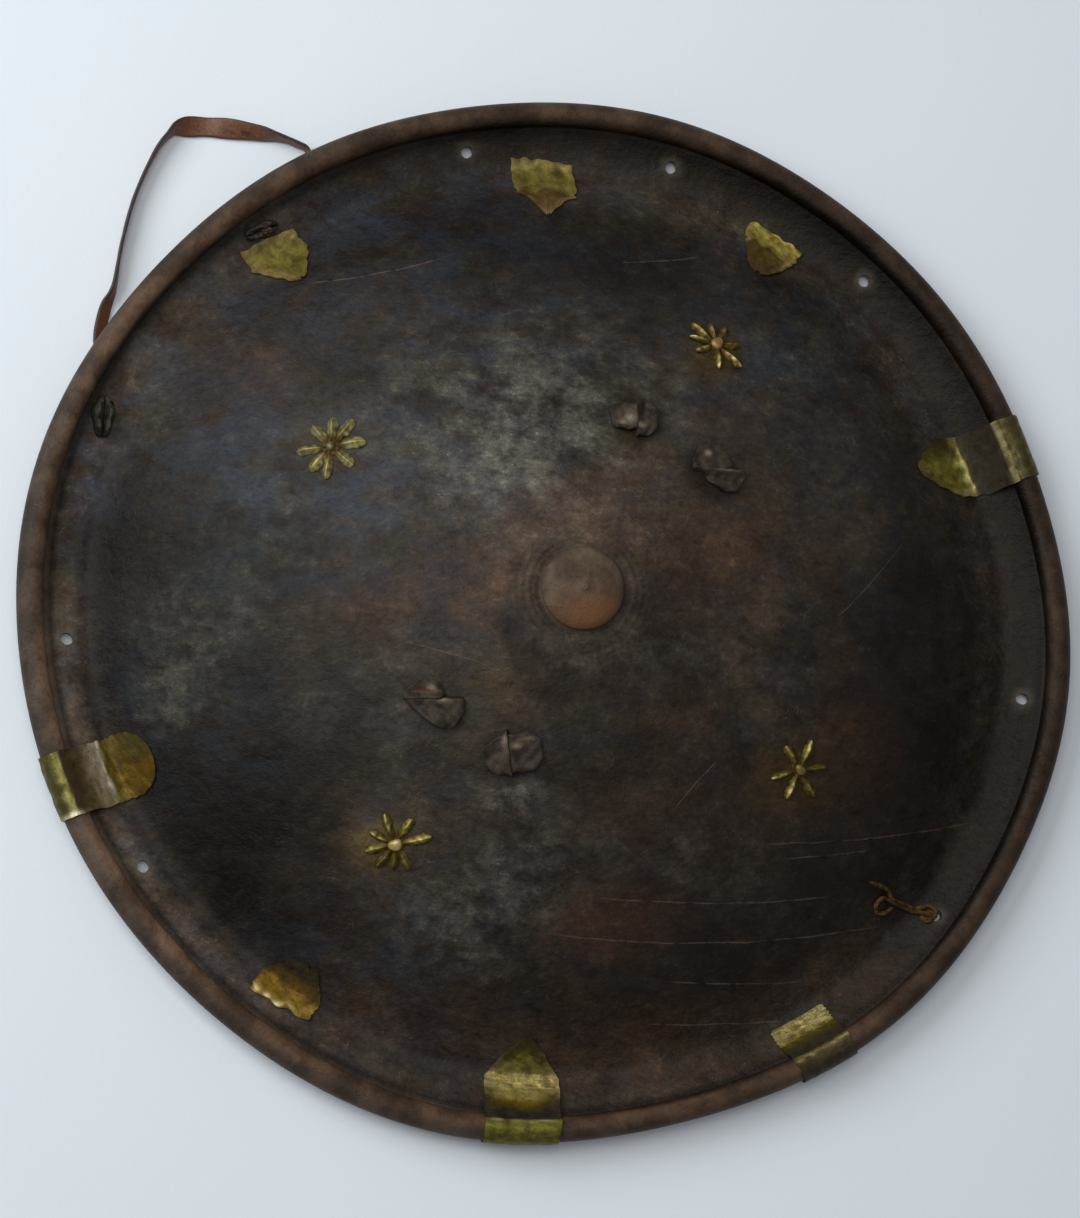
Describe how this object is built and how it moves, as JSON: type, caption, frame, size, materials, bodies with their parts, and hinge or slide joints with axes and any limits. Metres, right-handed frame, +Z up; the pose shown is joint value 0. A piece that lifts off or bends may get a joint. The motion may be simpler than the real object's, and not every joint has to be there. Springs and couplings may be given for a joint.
{
  "type": "hide shield",
  "caption": "Round domed hide war shield with a turned centre button, an upturned rolled rim with brass clips, pinned brass stars, knotted leather hand grips and a side strap.",
  "frame": {"origin": "on the surface the shield lies on, under the middle of the dome", "axes": "+Z up through the centre button, the face upwards; +Y along the two hand grips; the carrying strap leaves the rim towards -X"},
  "size_m": [0.6663, 0.6159, 0.1104],
  "materials": {
    "hide": "thick scraped hide, nearly black, worn and dusty",
    "brass": "thin sheet brass, tarnished olive with rubbed yellow ridges",
    "grip_leather": "stiff grey-brown leather strap",
    "strap_leather": "red-brown leather with a dark cut edge",
    "rusty_iron": "rusted iron wire"
  },
  "bodies": {
    "root": {"hide_body": "hide", "rim_clip_1": "brass", "rim_clip_2": "brass", "rim_clip_3": "brass", "rim_clip_4": "brass", "broken_plate_1": "brass", "broken_plate_2": "brass", "broken_plate_3": "brass", "broken_plate_4": "brass", "star_1": "brass", "star_2": "brass", "star_3": "brass", "star_4": "brass", "hand_grip_1": "grip_leather", "hand_grip_2": "grip_leather", "carrying_strap": "strap_leather", "iron_wire": "rusty_iron"}
  },
  "joints": []
}
